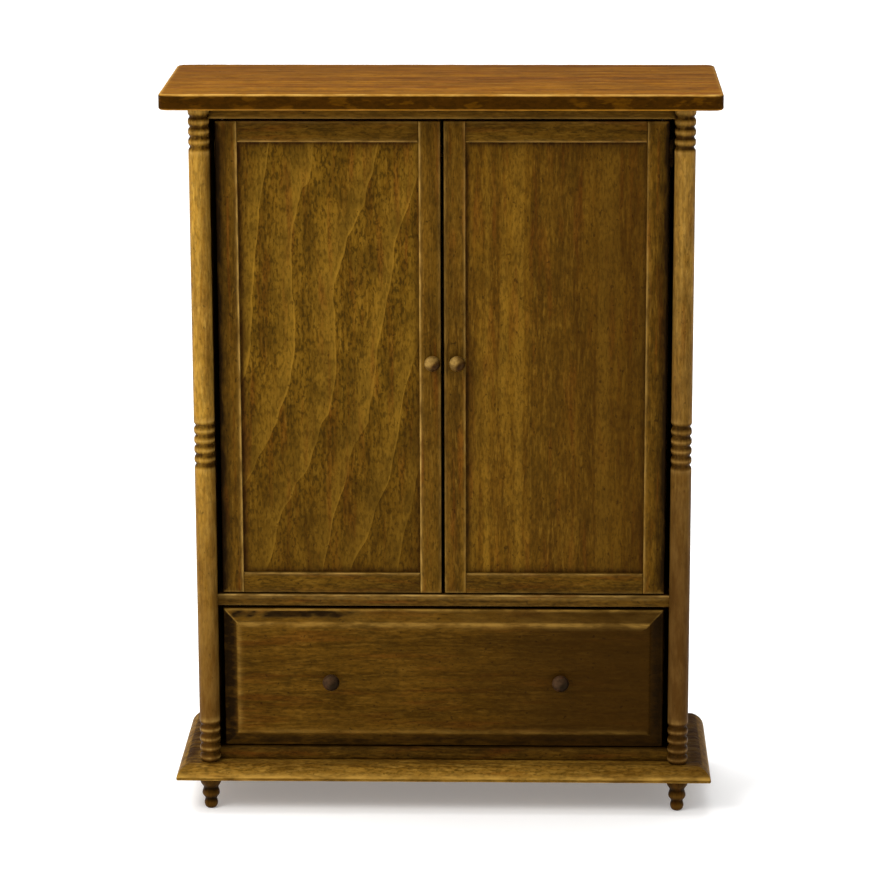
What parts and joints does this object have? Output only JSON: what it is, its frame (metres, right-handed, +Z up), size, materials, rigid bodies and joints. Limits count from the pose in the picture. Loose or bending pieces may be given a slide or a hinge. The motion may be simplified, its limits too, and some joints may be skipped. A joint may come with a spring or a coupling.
{
  "type": "miniature wardrobe",
  "caption": "Dolls house wardrobe in stained wood: framed doors over a wide drawer, ringed corner columns, moulded base and turned feet.",
  "frame": {"origin": "middle of the footprint, on the surface that the feet stand on", "axes": "+Z up, -Y out of the front, +X to the right seen from the front"},
  "size_m": [0.13, 0.0494, 0.1767],
  "materials": {
    "top_wood": "warm orange-brown stain, satin lacquer, pale worn edges",
    "base_wood": "golden-brown stain, satin lacquer, worn moulded edge",
    "column_wood": "honey-brown stain, dark stain in the turned grooves",
    "foot_wood": "very dark brown stain, satin",
    "case_wood": "dark honey-brown stain, satin lacquer",
    "back_wood": "thin matt brown stain",
    "rail_wood": "thin matt brown stain",
    "door_frame_wood": "olive-brown stain, satin lacquer, pale worn inner edges",
    "door_panel_wood": "mottled olive-brown stain over upright grain, satin lacquer",
    "door_knob_wood": "mid brown stain, satin",
    "drawer_front_wood": "dark brown stain, near black in the bevel, pale worn edges",
    "drawer_box_wood": "thin matt brown stain",
    "drawer_knob_wood": "very dark brown stain, satin",
    "pin_steel": "cut wire, dull"
  },
  "bodies": {
    "case": {"top_board": "top_wood", "base_board": "base_wood", "left_column": "column_wood", "right_column": "column_wood", "front_left_foot": "foot_wood", "front_right_foot": "foot_wood", "back_left_foot": "foot_wood", "back_right_foot": "foot_wood", "left_side_panel": "case_wood", "right_side_panel": "case_wood", "top_rail": "case_wood", "case_floor": "case_wood", "wardrobe_floor": "case_wood", "back_panel": "back_wood", "hanging_rail": "rail_wood", "left_rail_socket": "rail_wood", "right_rail_socket": "rail_wood"},
    "left_door": {"left_door_hinge_stile": "door_frame_wood", "left_door_meeting_stile": "door_frame_wood", "left_door_top_rail": "door_frame_wood", "left_door_bottom_rail": "door_frame_wood", "left_door_panel": "door_panel_wood", "left_door_knob": "door_knob_wood", "left_door_hinge_pins": "pin_steel"},
    "right_door": {"right_door_hinge_stile": "door_frame_wood", "right_door_meeting_stile": "door_frame_wood", "right_door_top_rail": "door_frame_wood", "right_door_bottom_rail": "door_frame_wood", "right_door_panel": "door_panel_wood", "right_door_knob": "door_knob_wood", "right_door_hinge_pins": "pin_steel"},
    "drawer": {"drawer_front": "drawer_front_wood", "drawer_left_side": "drawer_box_wood", "drawer_right_side": "drawer_box_wood", "drawer_back": "drawer_box_wood", "drawer_floor": "drawer_box_wood", "drawer_left_knob": "drawer_knob_wood", "drawer_right_knob": "drawer_knob_wood"}
  },
  "joints": [
    {"name": "left_door_hinge", "type": "hinge", "parent": "case", "child": "left_door", "pos_m": [-0.05145, -0.01015, 0.111], "axis": [0, 0, -1], "range_deg": [0, 100]},
    {"name": "right_door_hinge", "type": "hinge", "parent": "case", "child": "right_door", "pos_m": [0.05145, -0.01015, 0.111], "axis": [0, 0, 1], "range_deg": [0, 100]},
    {"name": "drawer_slide", "type": "slide", "parent": "case", "child": "drawer", "axis": [0, -1, 0], "range_m": [0, 0.026]}
  ]
}
